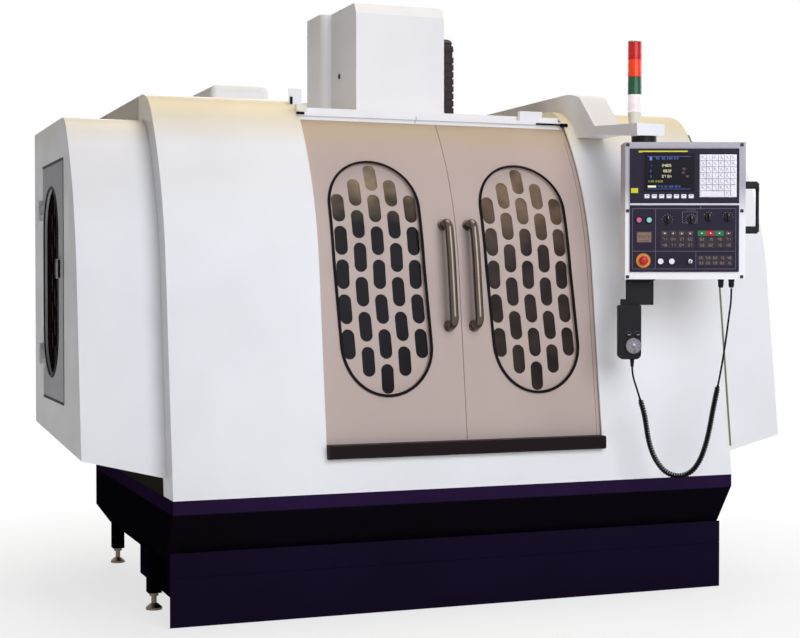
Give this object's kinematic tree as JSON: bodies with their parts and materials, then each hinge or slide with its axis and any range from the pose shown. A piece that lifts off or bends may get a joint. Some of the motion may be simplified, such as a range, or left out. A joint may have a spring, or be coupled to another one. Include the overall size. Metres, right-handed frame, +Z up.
{
  "type": "cnc machining center",
  "caption": "Enclosed vertical machining centre with sliding slotted-window doors, swivelling control box, handwheel unit, signal tower and a moving saddle, table, head and tool magazine.",
  "frame": {"origin": "on the floor, in the middle of the footprint", "axes": "+X to the right seen from the front, +Y to the rear, +Z up"},
  "size_m": [2.7955, 2.1416, 2.32],
  "materials": {
    "cowl_white": "satin",
    "door_taupe": "satin",
    "tray_navy": "gloss",
    "tank_navy": "satin",
    "sill_dark": "satin",
    "cast_iron": "machined",
    "steel": "ground",
    "foot_steel": "plated",
    "chrome": "polished",
    "glass": "clear",
    "rubber": "matt",
    "box_grey": "satin",
    "panel_dark": "matt",
    "screen": "gloss",
    "keys_light": "matt",
    "black_plastic": "matt",
    "cord_black": "satin",
    "dial_metal": "satin",
    "red_plastic": "gloss",
    "white_plastic": "gloss",
    "teal_plastic": "gloss",
    "pink_plastic": "gloss",
    "lens_plastic": "clear",
    "cream_plastic": "satin",
    "chain_grey": "matt",
    "panel_face": "matt"
  },
  "bodies": {
    "machine": {"bed_casting": "cast_iron", "levelling_feet": "foot_steel", "splash_pan": "tray_navy", "column_casting": "cast_iron", "column_cover": "cowl_white", "front_panel_left": "cowl_white", "front_panel_right": "cowl_white", "wing_left": "cowl_white", "wing_right": "cowl_white", "front_apron": "cowl_white", "door_sill": "sill_dark", "door_rail": "cowl_white", "rear_enclosure": "cowl_white", "electrical_cabinet": "cowl_white", "pendant_arm": "cowl_white", "tower_body": "cream_plastic", "tower_lenses": "lens_plastic"},
    "left_door": {"door_panel_left": "door_taupe", "door_glass_left": "glass", "door_gasket_left": "rubber", "door_handle_left": "chrome"},
    "right_door": {"door_panel_right": "door_taupe", "door_glass_right": "glass", "door_gasket_right": "rubber", "door_handle_right": "chrome"},
    "side_door": {"side_door_left": "cowl_white", "side_glass_left": "glass"},
    "tank": {"coolant_tank": "tank_navy"},
    "saddle": {"saddle": "cast_iron"},
    "table": {"table": "cast_iron"},
    "head": {"head_casting": "cast_iron", "head_cover": "cowl_white"},
    "spindle": {"spindle": "steel"},
    "cable_chain": {"cable_chain": "chain_grey"},
    "magazine": {"magazine_drum": "steel"},
    "cabinet_door": {"cabinet_door": "cowl_white"},
    "pendant": {"pendant_swivel": "panel_dark", "pendant_housing": "box_grey", "display_bezel": "panel_dark", "display_screen": "screen", "display_keys": "keys_light", "operator_panel": "panel_face", "cable_glands": "black_plastic", "grab_handle": "black_plastic", "mpg_holder": "panel_dark", "mpg_body": "black_plastic", "cord_lower_lead": "cord_black", "cord_coil": "cord_black", "cord_upper_lead": "cord_black"},
    "handwheel": {"mpg_dial": "dial_metal"},
    "emergency_stop": {"emergency_stop": "red_plastic"},
    "start_button": {"start_button": "white_plastic"},
    "hold_button": {"hold_button": "white_plastic"},
    "power_on_button": {"power_on_button": "teal_plastic"},
    "power_off_button": {"power_off_button": "pink_plastic"},
    "key_switch": {"key_switch": "steel"},
    "mode_selector": {"mode_selector": "black_plastic"},
    "feed_selector": {"feed_selector": "black_plastic"},
    "rapid_selector": {"rapid_selector": "black_plastic"},
    "spindle_selector": {"spindle_selector": "black_plastic"}
  },
  "joints": [
    {"name": "left_door_slide", "type": "slide", "parent": "machine", "child": "left_door", "axis": [-1, 0, 0], "range_m": [0, 0.46]},
    {"name": "right_door_slide", "type": "slide", "parent": "machine", "child": "right_door", "axis": [1, 0, 0], "range_m": [0, 0.46]},
    {"name": "side_door_hinge", "type": "hinge", "parent": "machine", "child": "side_door", "pos_m": [-1.398, 0.223, 1.2], "axis": [0, 0, -1], "range_deg": [0, 110]},
    {"name": "cabinet_door_hinge", "type": "hinge", "parent": "machine", "child": "cabinet_door", "pos_m": [1.058, 1.049, 1.2], "axis": [0, 0, -1], "range_deg": [0, 120]},
    {"name": "tank_slide", "type": "slide", "parent": "machine", "child": "tank", "axis": [0, -1, 0], "range_m": [0, 0.6]},
    {"name": "saddle_slide", "type": "slide", "parent": "machine", "child": "saddle", "axis": [0, 1, 0], "range_m": [-0.25, 0.25]},
    {"name": "table_slide", "type": "slide", "parent": "saddle", "child": "table", "axis": [1, 0, 0], "range_m": [-0.4, 0.4]},
    {"name": "head_slide", "type": "slide", "parent": "machine", "child": "head", "axis": [0, 0, 1], "range_m": [-0.5, 0]},
    {"name": "spindle_turn", "type": "hinge", "parent": "head", "child": "spindle", "pos_m": [0, 0.13, 1.46], "axis": [0, 0, 1], "continuous": true},
    {"name": "cable_chain_slide", "type": "slide", "parent": "machine", "child": "cable_chain", "axis": [0, 0, 1], "range_m": [-0.25, 0]},
    {"name": "magazine_turn", "type": "hinge", "parent": "machine", "child": "magazine", "pos_m": [-0.68, 0.165, 1.55], "axis": [1, 0, 0], "continuous": true},
    {"name": "pendant_swivel_turn", "type": "hinge", "parent": "machine", "child": "pendant", "pos_m": [0.641, -0.905, 1.72], "axis": [0, 0, 1], "range_deg": [-60, 35]},
    {"name": "handwheel_turn", "type": "hinge", "parent": "pendant", "child": "handwheel", "pos_m": [0.58966, -0.92187, 0.962], "axis": [-0.3551, -0.9348, 0], "continuous": true},
    {"name": "emergency_stop_push", "type": "slide", "parent": "pendant", "child": "emergency_stop", "axis": [0.3551, 0.9348, 0], "range_m": [0, 0.006]},
    {"name": "start_button_push", "type": "slide", "parent": "pendant", "child": "start_button", "axis": [0.3551, 0.9348, 0], "range_m": [0, 0.003], "stiffness_N_per_m": 400},
    {"name": "hold_button_push", "type": "slide", "parent": "pendant", "child": "hold_button", "axis": [0.3551, 0.9348, 0], "range_m": [0, 0.003], "stiffness_N_per_m": 400},
    {"name": "power_on_button_push", "type": "slide", "parent": "pendant", "child": "power_on_button", "axis": [0.3551, 0.9348, 0], "range_m": [0, 0.003], "stiffness_N_per_m": 400},
    {"name": "power_off_button_push", "type": "slide", "parent": "pendant", "child": "power_off_button", "axis": [0.3551, 0.9348, 0], "range_m": [0, 0.003], "stiffness_N_per_m": 400},
    {"name": "key_switch_turn", "type": "hinge", "parent": "pendant", "child": "key_switch", "pos_m": [0.77527, -1.01056, 1.2726], "axis": [0.3551, 0.9348, 0], "range_deg": [0, 90]},
    {"name": "mode_selector_turn", "type": "hinge", "parent": "pendant", "child": "mode_selector", "pos_m": [0.69768, -0.98108, 1.426], "axis": [0.3551, 0.9348, 0], "range_deg": [-120, 120]},
    {"name": "feed_selector_turn", "type": "hinge", "parent": "pendant", "child": "feed_selector", "pos_m": [0.77807, -1.01162, 1.426], "axis": [0.3551, 0.9348, 0], "range_deg": [-135, 135]},
    {"name": "rapid_selector_turn", "type": "hinge", "parent": "pendant", "child": "rapid_selector", "pos_m": [0.8393, -1.03488, 1.435], "axis": [0.3551, 0.9348, 0], "range_deg": [-60, 60]},
    {"name": "spindle_selector_turn", "type": "hinge", "parent": "pendant", "child": "spindle_selector", "pos_m": [0.90427, -1.05956, 1.435], "axis": [0.3551, 0.9348, 0], "range_deg": [-90, 90]}
  ],
  "couplings": [
    {"joint": "cable_chain_slide", "follows": "head_slide", "ratio": 0.5}
  ]
}
